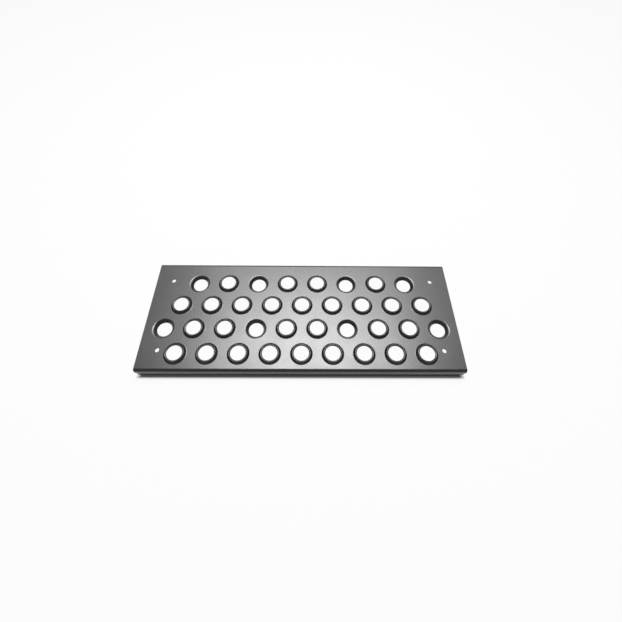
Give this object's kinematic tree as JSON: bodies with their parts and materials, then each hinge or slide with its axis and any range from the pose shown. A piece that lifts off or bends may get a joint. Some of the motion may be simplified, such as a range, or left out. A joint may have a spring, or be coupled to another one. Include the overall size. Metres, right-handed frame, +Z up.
{
  "type": "step tread",
  "caption": "Folded sheet steel step tread with raised grip collars, lowered drain collars, corner bolt holes and two down-turned flanges, in satin black paint.",
  "frame": {"origin": "middle of the footprint, on the plane that the flanges' lower edges stand on", "axes": "+X along the tread, +Y towards its back edge, +Z up through the deck"},
  "size_m": [0.6, 0.232, 0.0335],
  "materials": {
    "black_paint": "satin"
  },
  "bodies": {
    "root": {"tread_plate": "black_paint"}
  },
  "joints": []
}
